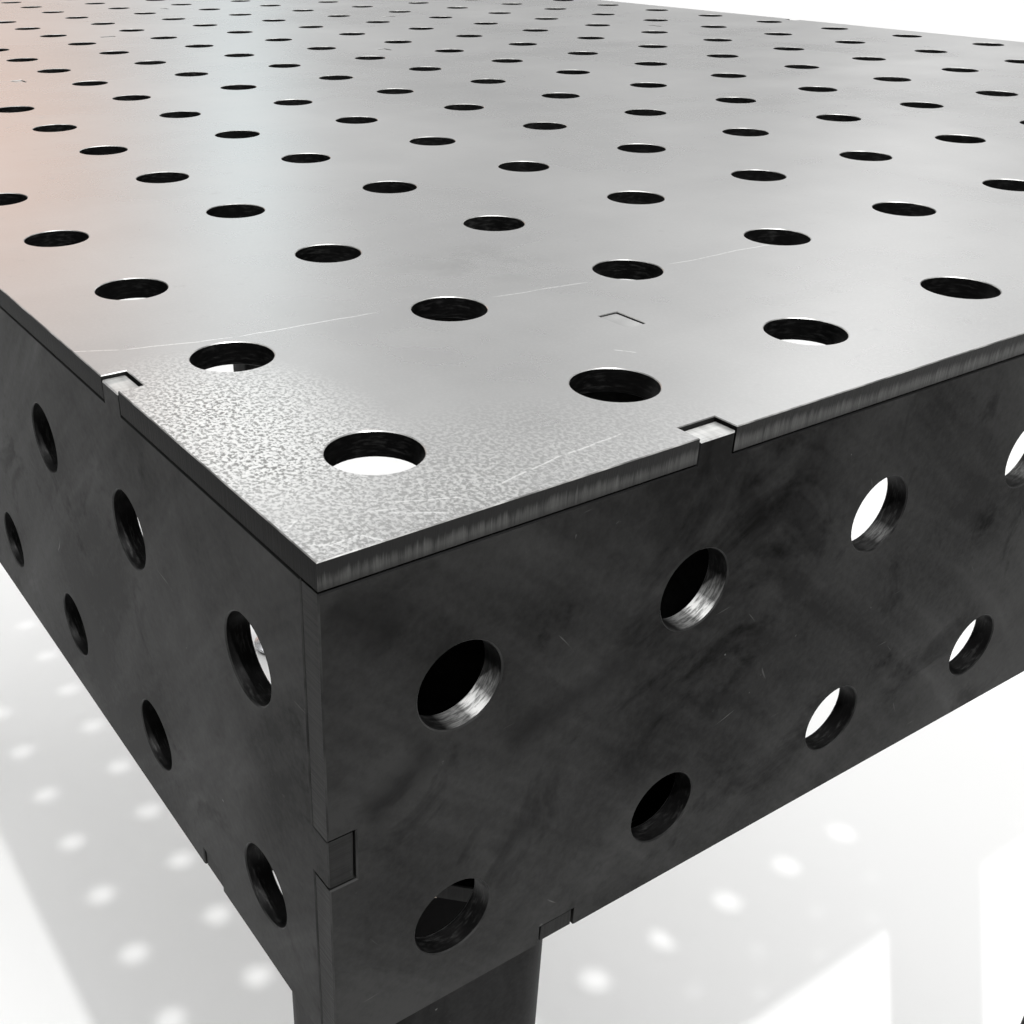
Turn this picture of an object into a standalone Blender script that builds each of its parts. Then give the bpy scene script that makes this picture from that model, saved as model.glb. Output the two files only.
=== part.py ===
"""Steel welding fixture table: a laser-cut top plate with a square grid of round holes, four skirts
with the same grid, three long ribs crossed by one, and four square-tube legs on levelling feet.

The plates slot together with tabs, like flat-pack furniture, and are then stitch-welded. X runs along
the short side, Y along the long side, Z up. The origin is on the floor, below the middle of the table.
"""

import math

import bmesh
import bpy

# Driving dimensions, in metres.
PITCH = 0.0508  # the hole grid is 2 in square
COLUMNS = 12  # holes along X
ROWS = 24  # holes along Y
MARGIN = 0.0246  # from an edge to the first row of hole centres
HOLE_RADIUS = 0.00807
HOLE_SIDES = 8
PLATE = 0.00476  # all laser-cut plate is 3/16 in
GAP = 0.0003  # clearance between pieces that touch
TABLE_HEIGHT = 0.9144
SIDE_DEPTH = 0.1014  # from the work surface to the lower edge of the skirts
SIDE_HOLE_DEPTHS = (0.0304, 0.0812)  # below the work surface

TOP_TAB = 0.0082  # width of the tabs that stand in the top plate
TAB_GAP = 0.0002  # clearance round those tabs
SKIRT_TAB_RECESS = 0.0008  # how far a skirt's tab ends below the work surface
RIB_TAB_RECESS = 0.0003
END_TAB_COLUMNS = (1, 4, 7, 10)  # tabs of the end skirts line up with these holes
SIDE_TAB_ROWS = (1, 8, 15, 22)
FINGER = 0.0099  # height of the side skirts' fingers at the corners
FINGER_DEPTH = 0.0555  # of the middle of the finger, below the work surface

RIB_DEPTH = 0.0508  # lower edge of the ribs, below the work surface
LONG_RIB_GAPS = (1, 5, 9)  # gap 0 lies between hole columns 0 and 1
CROSS_RIB_GAP = 11  # gap 0 lies between hole rows 0 and 1
LONG_RIB_TAB_GAPS = (0, 8, 14, 22)
CROSS_RIB_TAB_GAPS = (3, 7)
RIB_FOOT_LENGTH = 0.0980  # how far the deep end of a rib reaches in from the edge
RIB_FILLET = 0.0120

LEG_CENTRE = 0.0500  # from both edges
LEG_SIDE = 0.0508
LEG_WALL = 0.00476
LEG_CORNER = 0.0095
MOUNT_TAB = 0.0076
MOUNT_TAB_GAP = 0.0006
MOUNT_REACH = 0.0952  # how far a leg mount reaches along the side skirt
MOUNT_THICKNESS = 0.0044

SOLE_RADIUS = 0.0280
SOLE_HEIGHT = 0.0040
PAD_RADIUS = 0.0300
PAD_BOSS_RADIUS = 0.0150
PAD_TOP = 0.0245
BALL_HEIGHT = 0.0180
BALL_RADIUS = 0.0080
SEAT_INNER = 0.0085
SEAT_OUTER = 0.0100
POCKET_RADIUS = 0.0108
RING_INNER = 0.0078
RING_LEVELS = (0.0215, 0.0235)
NECK_RADIUS = 0.0050
COLLAR_LEVELS = (0.0275, 0.0345)
COLLAR_FLATS = 0.0170
THREAD_RADIUS = 0.0080
THREAD_BORE = 0.0081
STEM_TOP = 0.1000
NUT_FLATS = 0.0240
JAM_NUT_HEIGHT = 0.0080
WELD_NUT_HEIGHT = 0.0130
LEG_END = 0.0525  # underside of the plate that closes the leg
END_PLATE = 0.0060
TURNED_SIDES = 12

# Worked out from those above.
LENGTH_X = 2 * MARGIN + (COLUMNS - 1) * PITCH
LENGTH_Y = 2 * MARGIN + (ROWS - 1) * PITCH
LEFT = -LENGTH_X / 2
NEAR = -LENGTH_Y / 2
UNDERSIDE = TABLE_HEIGHT - PLATE
SKIRT_TOP = UNDERSIDE - GAP
SKIRT_BOTTOM = TABLE_HEIGHT - SIDE_DEPTH
SKIRT_TAB_TOP = TABLE_HEIGHT - SKIRT_TAB_RECESS
RIB_TAB_TOP = TABLE_HEIGHT - RIB_TAB_RECESS
RIB_BOTTOM = TABLE_HEIGHT - RIB_DEPTH
LAP_LEVEL = (SKIRT_TOP + RIB_BOTTOM) / 2
STANDING_X = (math.pi / 2, 0, 0)  # an outline's x runs along X and its y up
STANDING_Y = (math.pi / 2, 0, math.pi / 2)  # an outline's x runs along Y and its y up


def column(i):
    """X of hole column i."""
    return LEFT + MARGIN + i * PITCH


def row(j):
    """Y of hole row j."""
    return NEAR + MARGIN + j * PITCH


def clear_scene():
    for obj in list(bpy.data.objects):
        bpy.data.objects.remove(obj, do_unlink=True)


def new_collection(name):
    collection = bpy.data.collections.new(name)
    bpy.context.scene.collection.children.link(collection)
    return collection


def material(name, colour, roughness, metallic):
    made = bpy.data.materials.new(name)
    made.use_nodes = True
    shader = made.node_tree.nodes["Principled BSDF"]
    shader.inputs["Base Color"].default_value = (*colour, 1.0)
    shader.inputs["Roughness"].default_value = roughness
    shader.inputs["Metallic"].default_value = metallic
    return made


def polygon(centre, radius, sides, phase=0.0):
    return [
        (
            centre[0] + radius * math.cos(phase + 2 * math.pi * k / sides),
            centre[1] + radius * math.sin(phase + 2 * math.pi * k / sides),
        )
        for k in range(sides)
    ]


def round_hole(x, y):
    """A hole that a pin of HOLE_RADIUS fits, so its flats touch that circle."""
    return polygon((x, y), HOLE_RADIUS / math.cos(math.pi / HOLE_SIDES), HOLE_SIDES, math.pi / HOLE_SIDES)


def box_outline(x0, x1, y0, y1):
    return [(x0, y0), (x1, y0), (x1, y1), (x0, y1)]


def stepped(start, end, level, steps):
    """An edge from start to end at one level, with stretches (from, to, level) at other levels."""
    points = [(start, level)]
    for s0, s1, other in sorted(steps):
        points += [(s0, level), (s0, other), (s1, other), (s1, level)]
    points.append((end, level))
    kept = [points[0]]
    for point in points[1:]:
        if math.dist(point, kept[-1]) > 1e-7:
            kept.append(point)
    return kept


def ring_of(bottom, right, top, left):
    """One closed outline from four stepped edges, given as (along, level), all running low to high."""
    points = list(bottom)
    points += [(level, along) for along, level in right]
    points += list(reversed(top))
    points += [(level, along) for along, level in reversed(left)]
    kept = []
    for point in points:
        if not kept or math.dist(point, kept[-1]) > 1e-7:
            kept.append(point)
    if math.dist(kept[0], kept[-1]) < 1e-7:
        kept.pop()
    return kept


def sheet(name, outline, holes, thickness, location, rotation, look):
    """A flat piece: an outline with holes, as thick as given, centred on its own plane."""
    curve = bpy.data.curves.new(name, "CURVE")
    curve.dimensions = "2D"
    curve.fill_mode = "BOTH"
    curve.extrude = thickness / 2
    for loop in [outline, *holes]:
        spline = curve.splines.new("POLY")
        spline.points.add(len(loop) - 1)
        for point, (x, y) in zip(spline.points, loop):
            point.co = (x, y, 0, 1)
        spline.use_cyclic_u = True
    obj = bpy.data.objects.new(name, curve)
    obj.location = location
    obj.rotation_euler = rotation
    curve.materials.append(look)
    TABLE.objects.link(obj)
    return obj


def turned(name, profile, location, look, ring=False):
    """A turned piece. profile is (radius, height) down the outer side; a ring's profile closes on itself."""
    mesh = bpy.data.meshes.new(name)
    edges = [(k, k + 1) for k in range(len(profile) - 1)]
    if ring:
        edges.append((len(profile) - 1, 0))
    mesh.from_pydata([(r, 0, z) for r, z in profile], edges, [])
    mesh.materials.append(look)
    obj = bpy.data.objects.new(name, mesh)
    obj.location = location
    screw = obj.modifiers.new("turn", "SCREW")
    screw.steps = TURNED_SIDES
    screw.render_steps = TURNED_SIDES
    screw.use_merge_vertices = True
    screw.merge_threshold = 0.00001
    TABLE.objects.link(obj)
    return obj


def arc(centre, radius, start_deg, end_deg, steps):
    """(x, y) points on an arc, both ends included."""
    angles = [math.radians(start_deg + (end_deg - start_deg) * k / steps) for k in range(steps + 1)]
    return [(centre[0] + radius * math.cos(a), centre[1] + radius * math.sin(a)) for a in angles]


def rounded_square(side, radius, steps):
    inset = side / 2 - radius
    corners = [(inset, inset, 0), (-inset, inset, 90), (-inset, -inset, 180), (inset, -inset, 270)]
    points = []
    for x, y, angle in corners:
        points += arc((x, y), radius, angle, angle + 90, steps)
    return points


def around(centre, half, level):
    """A step (from, to, level) of the given half width about centre."""
    return (centre - half, centre + half, level)


def top_plate(look):
    end_half = TOP_TAB / 2 + TAB_GAP
    depth = PLATE + TAB_GAP
    near = stepped(LEFT, -LEFT, NEAR, [around(column(i), end_half, NEAR + depth) for i in END_TAB_COLUMNS])
    far = stepped(LEFT, -LEFT, -NEAR, [around(column(i), end_half, -NEAR - depth) for i in END_TAB_COLUMNS])
    left = stepped(NEAR, -NEAR, LEFT, [around(row(j), end_half, LEFT + depth) for j in SIDE_TAB_ROWS])
    right = stepped(NEAR, -NEAR, -LEFT, [around(row(j), end_half, -LEFT - depth) for j in SIDE_TAB_ROWS])
    holes = [round_hole(column(i), row(j)) for i in range(COLUMNS) for j in range(ROWS)]
    across = PLATE / 2 + TAB_GAP
    along = TOP_TAB / 2 + TAB_GAP
    for gap in LONG_RIB_GAPS:
        x = column(gap + 0.5)
        for y in (row(g + 0.5) for g in LONG_RIB_TAB_GAPS):
            holes.append(box_outline(x - across, x + across, y - along, y + along))
    y = row(CROSS_RIB_GAP + 0.5)
    for x in (column(g + 0.5) for g in CROSS_RIB_TAB_GAPS):
        holes.append(box_outline(x - along, x + along, y - across, y + across))
    height = TABLE_HEIGHT - PLATE / 2
    sheet("top_plate", ring_of(near, right, far, left), holes, PLATE, (0, 0, height), (0, 0, 0), look)


def mount_notch(along):
    """The notch in a lower edge that a leg mount's tab stands in."""
    return around(along, MOUNT_TAB / 2 + MOUNT_TAB_GAP, SKIRT_BOTTOM + MOUNT_THICKNESS + GAP)


def skirt_holes(places):
    return [round_hole(along, TABLE_HEIGHT - depth) for along in places for depth in SIDE_HOLE_DEPTHS]


def end_skirt(name, y, look):
    """A skirt along X. It covers the ends of the side skirts, whose fingers stand in its edges."""
    notches = [mount_notch(LEFT + LEG_CENTRE), mount_notch(-LEFT - LEG_CENTRE)]
    tabs = [around(column(i), TOP_TAB / 2, SKIRT_TAB_TOP) for i in END_TAB_COLUMNS]
    finger = TABLE_HEIGHT - FINGER_DEPTH
    half = FINGER / 2 + GAP
    bottom = stepped(LEFT, -LEFT, SKIRT_BOTTOM, notches)
    top = stepped(LEFT, -LEFT, SKIRT_TOP, tabs)
    left = stepped(SKIRT_BOTTOM, SKIRT_TOP, LEFT, [around(finger, half, LEFT + PLATE + GAP)])
    right = stepped(SKIRT_BOTTOM, SKIRT_TOP, -LEFT, [around(finger, half, -LEFT - PLATE - GAP)])
    holes = skirt_holes([column(i) for i in range(COLUMNS)])
    sheet(name, ring_of(bottom, right, top, left), holes, PLATE, (0, y, 0), STANDING_X, look)


def side_skirt(name, x, look):
    """A skirt along Y, between the end skirts, with a finger at each end that stands in their edges."""
    start = NEAR + PLATE + GAP
    finger_end = NEAR + GAP
    notches = [mount_notch(NEAR + LEG_CENTRE), mount_notch(-NEAR - LEG_CENTRE)]
    tabs = [around(row(j), TOP_TAB / 2, SKIRT_TAB_TOP) for j in SIDE_TAB_ROWS]
    finger = TABLE_HEIGHT - FINGER_DEPTH
    bottom = stepped(start, -start, SKIRT_BOTTOM, notches)
    top = stepped(start, -start, SKIRT_TOP, tabs)
    near = stepped(SKIRT_BOTTOM, SKIRT_TOP, start, [around(finger, FINGER / 2, finger_end)])
    far = stepped(SKIRT_BOTTOM, SKIRT_TOP, -start, [around(finger, FINGER / 2, -finger_end)])
    holes = skirt_holes([row(j) for j in range(ROWS)])
    sheet(name, ring_of(bottom, far, top, near), holes, PLATE, (x, 0, 0), STANDING_Y, look)


def lap_slots(places, level):
    return [around(place, PLATE / 2 + GAP, level) for place in places]


def long_rib(name, x, deep_ends, look):
    """A rib along Y. Its lower half is slotted for the cross ribs; deep ends reach down to the leg mounts."""
    start = NEAR + PLATE + GAP
    slots = lap_slots([row(CROSS_RIB_GAP + 0.5)], LAP_LEVEL + GAP)
    tabs = [around(row(g + 0.5), TOP_TAB / 2, RIB_TAB_TOP) for g in LONG_RIB_TAB_GAPS]
    top = stepped(start, -start, SKIRT_TOP, tabs)
    if not deep_ends:
        bottom = stepped(start, -start, RIB_BOTTOM, slots)
        outline = bottom + list(reversed(top))
    else:
        foot_end = NEAR + RIB_FOOT_LENGTH
        foot = stepped(start, foot_end, SKIRT_BOTTOM, [mount_notch(NEAR + LEG_CENTRE)])
        centre = (foot_end + RIB_FILLET, RIB_BOTTOM - RIB_FILLET)
        near_half = foot + arc(centre, RIB_FILLET, 180, 90, 3)
        far_half = [(-along, level) for along, level in reversed(near_half)]
        middle = stepped(centre[0], -centre[0], RIB_BOTTOM, slots)[1:-1]
        outline = near_half + middle + far_half + list(reversed(top))
    sheet(name, outline, [], PLATE, (x, 0, 0), STANDING_Y, look)


def cross_rib(name, y, look):
    """A rib along X. Its upper half is slotted for the long ribs."""
    start = LEFT + PLATE + GAP
    slots = lap_slots([column(g + 0.5) for g in LONG_RIB_GAPS], LAP_LEVEL - GAP)
    tabs = [around(column(g + 0.5), TOP_TAB / 2, RIB_TAB_TOP) for g in CROSS_RIB_TAB_GAPS]
    top = stepped(start, -start, SKIRT_TOP, slots + tabs)
    outline = [(start, RIB_BOTTOM), (-start, RIB_BOTTOM), *reversed(top)]
    sheet(name, outline, [], PLATE, (0, y, 0), STANDING_X, look)


def leg_mount(name, side_x, side_y, look):
    """The flat corner plate that carries a leg. Its tabs stand in both skirts and in the nearest long rib.

    The outline is drawn for the left near corner, measured from that corner, and mirrored by side_x, side_y.
    """
    half = MOUNT_TAB / 2
    tab_end = GAP + 0.0001
    skirt = PLATE + GAP
    rib_face = MARGIN + 1.5 * PITCH - PLATE / 2 - GAP
    rib_back = rib_face + PLATE + GAP
    low = LEG_CENTRE - half
    high = LEG_CENTRE + half
    chamfer = skirt + 0.0047
    outline = [
        (tab_end, high), (tab_end, low), (chamfer, low), (low, chamfer), (low, tab_end), (high, tab_end),
        (high, skirt), (rib_face, skirt), (rib_face, low), (rib_back, low), (rib_back, high),
        (rib_face, high), (rib_face, MOUNT_REACH), (skirt, MOUNT_REACH), (skirt, high),
    ]  # fmt: skip
    placed = [(side_x * (-LEFT - x), side_y * (-NEAR - y)) for x, y in outline]
    height = SKIRT_BOTTOM + MOUNT_THICKNESS / 2
    sheet(name, placed, [], MOUNT_THICKNESS, (0, 0, height), (0, 0, 0), look)


def leg(name, place, look):
    outer = rounded_square(LEG_SIDE, LEG_CORNER, 3)
    inner = rounded_square(LEG_SIDE - 2 * LEG_WALL, LEG_CORNER - LEG_WALL, 1)
    low = LEG_END + END_PLATE + GAP
    high = SKIRT_BOTTOM - GAP
    sheet(name, outer, [inner], high - low, (*place, (low + high) / 2), (0, 0, 0), look)


def thread_hole():
    return polygon((0, 0), THREAD_BORE / math.cos(math.pi / TURNED_SIDES), TURNED_SIDES)


def hexagon(flats):
    return polygon((0, 0), flats / 2 / math.cos(math.pi / 6), 6)


def leg_end_plate(name, place, look):
    outline = rounded_square(LEG_SIDE, LEG_CORNER, 3)
    centre = (*place, LEG_END + END_PLATE / 2)
    sheet(name, outline, [thread_hole()], END_PLATE, centre, (0, 0, 0), look)


def nut(name, place, low, height, look):
    sheet(name, hexagon(NUT_FLATS), [thread_hole()], height, (*place, low + height / 2), (0, 0, 0), look)


def ball_profile(radius, start_deg, end_deg, steps):
    """(radius, height) about the ball's centre, from start_deg to end_deg above its middle."""
    return [(r, BALL_HEIGHT + z) for r, z in arc((0, 0), radius, start_deg, end_deg, steps)]


def foot_stem(name, place, look):
    """A threaded rod with a ball at its lower end and a hexagon for the spanner above the ball."""
    neck = math.degrees(math.acos(NECK_RADIUS / BALL_RADIUS))
    inner = 0.0015
    low, high = COLLAR_LEVELS
    profile = [(0, STEM_TOP), (THREAD_RADIUS - inner, STEM_TOP), (THREAD_RADIUS, STEM_TOP - inner)]
    profile += [(THREAD_RADIUS, low + inner), (NECK_RADIUS, low)]
    profile += ball_profile(BALL_RADIUS, neck, -90, 5)
    profile[-1] = (0, BALL_HEIGHT - BALL_RADIUS)
    stem = turned(name, profile, (*place, 0), look)
    collar = sheet(name + "_hex", hexagon(COLLAR_FLATS), [], high - low - inner, (0, 0, 0), (0, 0, 0), look)
    collar.location = (*place, (low + inner + high) / 2)
    join_solid(stem, collar)


def join_solid(obj, curve_obj):
    """Unites obj with the solid of curve_obj, which becomes a closed mesh and stays as a hidden helper."""
    bpy.context.view_layer.update()
    graph = bpy.context.evaluated_depsgraph_get()
    mesh = bpy.data.meshes.new_from_object(curve_obj.evaluated_get(graph))
    cleaned = bmesh.new()
    cleaned.from_mesh(mesh)
    bmesh.ops.remove_doubles(cleaned, verts=cleaned.verts, dist=0.000001)
    bmesh.ops.recalc_face_normals(cleaned, faces=cleaned.faces)
    cleaned.to_mesh(mesh)
    cleaned.free()
    helper = bpy.data.objects.new(curve_obj.name + "_helper", mesh)
    helper.matrix_world = curve_obj.matrix_world
    helper.hide_render = True
    helper.display_type = "WIRE"
    HELPERS.objects.link(helper)
    bpy.data.objects.remove(curve_obj, do_unlink=True)
    union = obj.modifiers.new("join", "BOOLEAN")
    union.operation = "UNION"
    union.object = helper


def ball_seat(name, place, look):
    """The plastic cup between the ball and the pad: two concentric bowls."""
    outer = ball_profile(SEAT_OUTER, 0, -90, 4)
    inner = ball_profile(SEAT_INNER, -90, 0, 4)
    outer[-1] = (0, BALL_HEIGHT - SEAT_OUTER)
    inner[0] = (0, BALL_HEIGHT - SEAT_INNER)
    turned(name, [*inner, *outer], (*place, 0), look)


def foot_pad(name, place, look):
    """The steel disc of a foot, with a boss round the pocket that the ball sits in."""
    low = SOLE_HEIGHT + GAP
    rim = low + 0.0045
    shoulder = 0.0150
    pocket = ball_profile(POCKET_RADIUS, 0, -90, 4)
    pocket[-1] = (0, BALL_HEIGHT - POCKET_RADIUS)
    profile = [*reversed(pocket), (POCKET_RADIUS, PAD_TOP), (PAD_BOSS_RADIUS - 0.001, PAD_TOP)]
    profile += [(PAD_BOSS_RADIUS, PAD_TOP - 0.001), (PAD_BOSS_RADIUS, shoulder)]
    profile += [(PAD_RADIUS - 0.001, rim), (PAD_RADIUS, rim - 0.001), (PAD_RADIUS, low), (0, low)]
    turned(name, profile, (*place, 0), look)


def retaining_ring(name, place, look):
    low, high = RING_LEVELS
    outer = POCKET_RADIUS - GAP
    turned(name, [(RING_INNER, high), (outer, high), (outer, low), (RING_INNER, low)], (*place, 0), look, True)


def foot_sole(name, place, look):
    edge = 0.0008
    profile = [(0, SOLE_HEIGHT), (SOLE_RADIUS, SOLE_HEIGHT), (SOLE_RADIUS, edge), (SOLE_RADIUS - edge, 0), (0, 0)]
    turned(name, profile, (*place, 0), look)


def build():
    top_steel = material("ground_steel", (0.56, 0.56, 0.55), 0.32, 0.9)
    dark_steel = material("mill_scale_steel", (0.045, 0.045, 0.048), 0.48, 0.6)
    plated = material("plated_steel", (0.55, 0.55, 0.57), 0.3, 1.0)
    nylon = material("nylon", (0.75, 0.74, 0.68), 0.5, 0.0)
    rubber = material("rubber", (0.03, 0.03, 0.03), 0.8, 0.0)

    top_plate(top_steel)
    end_skirt("near_end_skirt", NEAR + PLATE / 2, dark_steel)
    end_skirt("far_end_skirt", -NEAR - PLATE / 2, dark_steel)
    side_skirt("left_side_skirt", LEFT + PLATE / 2, dark_steel)
    side_skirt("right_side_skirt", -LEFT - PLATE / 2, dark_steel)
    for number, gap in enumerate(LONG_RIB_GAPS, 1):
        long_rib(f"long_rib_{number}", column(gap + 0.5), gap != LONG_RIB_GAPS[1], dark_steel)
    cross_rib("cross_rib", row(CROSS_RIB_GAP + 0.5), dark_steel)

    corners = [(-1, -1), (1, -1), (-1, 1), (1, 1)]
    for number, (side_x, side_y) in enumerate(corners, 1):
        place = (side_x * (-LEFT - LEG_CENTRE), side_y * (-NEAR - LEG_CENTRE))
        leg_mount(f"leg_mount_{number}", side_x, side_y, dark_steel)
        leg(f"leg_{number}", place, dark_steel)
        leg_end_plate(f"leg_end_plate_{number}", place, dark_steel)
        nut(f"weld_nut_{number}", place, LEG_END + END_PLATE + GAP, WELD_NUT_HEIGHT, plated)
        nut(f"jam_nut_{number}", place, LEG_END - GAP - JAM_NUT_HEIGHT, JAM_NUT_HEIGHT, plated)
        foot_stem(f"foot_stem_{number}", place, plated)
        ball_seat(f"ball_seat_{number}", place, nylon)
        foot_pad(f"foot_pad_{number}", place, plated)
        retaining_ring(f"retaining_ring_{number}", place, plated)
        foot_sole(f"foot_sole_{number}", place, rubber)


clear_scene()
TABLE = new_collection("welding_table")
HELPERS = new_collection("helpers")
build()
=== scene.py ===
"""The welding fixture table as it looks: smooth plates, cut edges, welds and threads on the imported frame."""

import math
import random

import bmesh
import bpy
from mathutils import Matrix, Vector, kdtree

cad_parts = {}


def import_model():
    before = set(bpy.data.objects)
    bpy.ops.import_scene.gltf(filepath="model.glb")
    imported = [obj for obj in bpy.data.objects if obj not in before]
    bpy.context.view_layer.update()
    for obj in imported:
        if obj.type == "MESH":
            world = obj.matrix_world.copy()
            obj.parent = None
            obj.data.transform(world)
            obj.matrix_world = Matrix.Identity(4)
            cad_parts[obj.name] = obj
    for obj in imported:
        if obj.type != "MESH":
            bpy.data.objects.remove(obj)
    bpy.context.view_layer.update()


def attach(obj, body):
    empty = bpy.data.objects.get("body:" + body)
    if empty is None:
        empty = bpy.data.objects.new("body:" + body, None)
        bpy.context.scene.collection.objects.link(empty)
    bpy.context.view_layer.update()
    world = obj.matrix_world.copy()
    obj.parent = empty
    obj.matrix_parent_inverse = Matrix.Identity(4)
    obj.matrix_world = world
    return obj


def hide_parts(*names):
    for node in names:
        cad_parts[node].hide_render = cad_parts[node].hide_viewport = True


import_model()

# The plates' dimensions, in metres, as the CAD has them.
PITCH = 0.0508
COLUMNS = 12
ROWS = 24
MARGIN = 0.0246
HOLE_RADIUS = 0.00807
HOLE_SIDES = 40
PLATE = 0.00476
GAP = 0.0003
TABLE_HEIGHT = 0.9144
SIDE_DEPTH = 0.1014
SIDE_HOLE_DEPTHS = (0.0304, 0.0812)
TOP_TAB = 0.0082
TAB_GAP = 0.0002
SKIRT_TAB_RECESS = 0.0008
RIB_TAB_RECESS = 0.0003
END_TAB_COLUMNS = (1, 4, 7, 10)
SIDE_TAB_ROWS = (1, 8, 15, 22)
FINGER = 0.0099
FINGER_DEPTH = 0.0555
RIB_DEPTH = 0.0508
LONG_RIB_GAPS = (1, 5, 9)
CROSS_RIB_GAP = 11
LONG_RIB_TAB_GAPS = (0, 8, 14, 22)
CROSS_RIB_TAB_GAPS = (3, 7)
RIB_FOOT_LENGTH = 0.0980
RIB_FILLET = 0.0120
LEG_CENTRE = 0.0500
LEG_SIDE = 0.0508
LEG_WALL = 0.00476
LEG_CORNER = 0.0095
MOUNT_TAB = 0.0076
MOUNT_TAB_GAP = 0.0006
MOUNT_REACH = 0.0952
MOUNT_THICKNESS = 0.0044
LEG_END = 0.0525
END_PLATE = 0.0060
BALL_HEIGHT = 0.0180
BALL_RADIUS = 0.0080
NECK_RADIUS = 0.0050
THREAD_RADIUS = 0.0080
THREAD_BORE = 0.0081
THREAD_LEAD = 0.0020
STEM_TOP = 0.1000
THREAD_DEPTH = 0.00105
THREAD_RUNOUT = 0.0012
THREAD_START = 0.0340
STEM_HEX_FLATS = 0.0170
STEM_HEX_LOW = 0.0290
STEM_HEX_TOP = 0.0345
NUT_FLATS = 0.0240
JAM_NUT_HEIGHT = 0.0080
WELD_NUT_HEIGHT = 0.0130
HEX_CHAMFER = 0.0011
COUNTERSINK = 0.0009
SOCKET_RADIUS = 0.0108
SEAT_OUTER = 0.0100
SEAT_INNER = 0.0085
COLLAR_RADIUS = 0.0150
COLLAR_TOP = 0.0245
PAD_RADIUS = 0.0300
PAD_BOTTOM = 0.0043
SOLE_RADIUS = 0.0280
SOLE_TOP = 0.0040
SOLE_GROOVES = (0.0225, 0.0160, 0.0095)
RING_INNER = 0.0078
RING_OUTER = 0.0105
RING_SPAN = (0.0215, 0.0235)

LENGTH_X = 2 * MARGIN + (COLUMNS - 1) * PITCH
LENGTH_Y = 2 * MARGIN + (ROWS - 1) * PITCH
LEFT = -LENGTH_X / 2
NEAR = -LENGTH_Y / 2
UNDERSIDE = TABLE_HEIGHT - PLATE
SKIRT_TOP = UNDERSIDE - GAP
SKIRT_BOTTOM = TABLE_HEIGHT - SIDE_DEPTH
SKIRT_TAB_TOP = TABLE_HEIGHT - SKIRT_TAB_RECESS
RIB_TAB_TOP = TABLE_HEIGHT - RIB_TAB_RECESS
RIB_BOTTOM = TABLE_HEIGHT - RIB_DEPTH
LAP_LEVEL = (SKIRT_TOP + RIB_BOTTOM) / 2
LEG_TUBE_LENGTH = SKIRT_BOTTOM - LEG_END - END_PLATE - 2 * GAP
DARK_TOP_LENGTH = 0.033
STANDING_X = (math.pi / 2, 0, 0)
STANDING_Y = (math.pi / 2, 0, math.pi / 2)
CORNERS = [(-1, -1), (1, -1), (-1, 1), (1, 1)]
LEG_PLACES = [(x * (-LEFT - LEG_CENTRE), y * (-NEAR - LEG_CENTRE)) for x, y in CORNERS]

# Scratches and scribed lines on the work surface, each through x, y points from the near left corner.
SCRATCHES = (
    ((0.0170, 0.0092), (0.0272, 0.0038)),
    ((0.0153, 0.0065), (0.0224, 0.0011)),
    ((0.0131, 0.0086), (0.0175, 0.0065)),
    ((0.0336, 0.0049), (0.0408, 0.0058), (0.0485, 0.0074), (0.0622, 0.0083)),
    ((0.0032, 0.0032), (0.0090, 0.0037), (0.0109, 0.0001)),
    ((0.0005, 0.0096), (0.0034, 0.0115)),
    ((-0.0005, 0.0949), (0.0080, 0.0905), (0.0298, 0.0848), (0.0620, 0.0817)),
    ((0.0873, 0.0769), (0.1125, 0.0730)),
    ((0.1361, 0.0731), (0.1719, 0.0717)),
    ((0.0871, 0.0378), (0.0901, 0.0344)),
    ((0.0010, 0.0049), (0.0059, 0.0024)),
)

# How far the colour of a scratch and of a dark band reaches from its middle line.
SCRATCH_WIDTH = 0.00030
STAIN_WIDTH = 0.005

# Patches of the work surface, each a centre from the near left corner and the radii along x and y.
WORKED_PATCH = ((0.010, 0.042), (0.027, 0.044))
CORNER_PATCH = ((0.010, 0.004), (0.075, 0.034))
GRIMY_PATCH = ((0.100, 0.097), (0.030, 0.022))

# Dark bands on the near end skirt, each from one x, z to another, from the near left top corner.
NEAR_END_STAINS = (
    ((0.0065, -0.0503), (0.0195, -0.0388)),
    ((0.0333, -0.0472), (0.0653, -0.0382)),
    ((0.0322, -0.0706), (0.0437, -0.0640)),
    ((0.0019, -0.0065), (0.0132, -0.0174)),
)

# The way the part of a skirt hole's wall with a painted highlight faces, in the skirt's own axes.
GLINT_SIDE = (-0.58, 0.815, 0.0)

random.seed(7)


# ---------------------------------------------------------------- materials


class Nodes:
    """A node tree, with short ways to add nodes to it."""

    def __init__(self, owner):
        owner.use_nodes = True
        self.tree = owner.node_tree

    def put(self, value, socket):
        if isinstance(value, bpy.types.NodeSocket):
            self.tree.links.new(value, socket)
        elif isinstance(value, tuple) and len(value) == 3 and socket.type == "RGBA":
            socket.default_value = (*value, 1.0)
        else:
            socket.default_value = value

    def node(self, kind, inputs=(), **settings):
        made = self.tree.nodes.new(kind)
        for name, value in settings.items():
            setattr(made, name, value)
        for key, value in dict(inputs).items():
            self.put(value, made.inputs[key])
        return made

    def ramp(self, value, low, high, to_low=0.0, to_high=1.0):
        """value mapped from low..high to to_low..to_high, clamped."""
        made = self.node(
            "ShaderNodeMapRange",
            {"Value": value, "From Min": low, "From Max": high, "To Min": to_low, "To Max": to_high},
            clamp=True,
        )
        return made.outputs["Result"]

    def maths(self, how, a, b=0.0, c=0.0):
        return self.node("ShaderNodeMath", {0: a, 1: b, 2: c}, operation=how).outputs[0]

    def mix(self, amount, a, b):
        made = self.tree.nodes.new("ShaderNodeMix")
        made.data_type = "RGBA"
        self.put(amount, made.inputs[0])
        self.put(a, made.inputs[6])
        self.put(b, made.inputs[7])
        return made.outputs[2]


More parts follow.
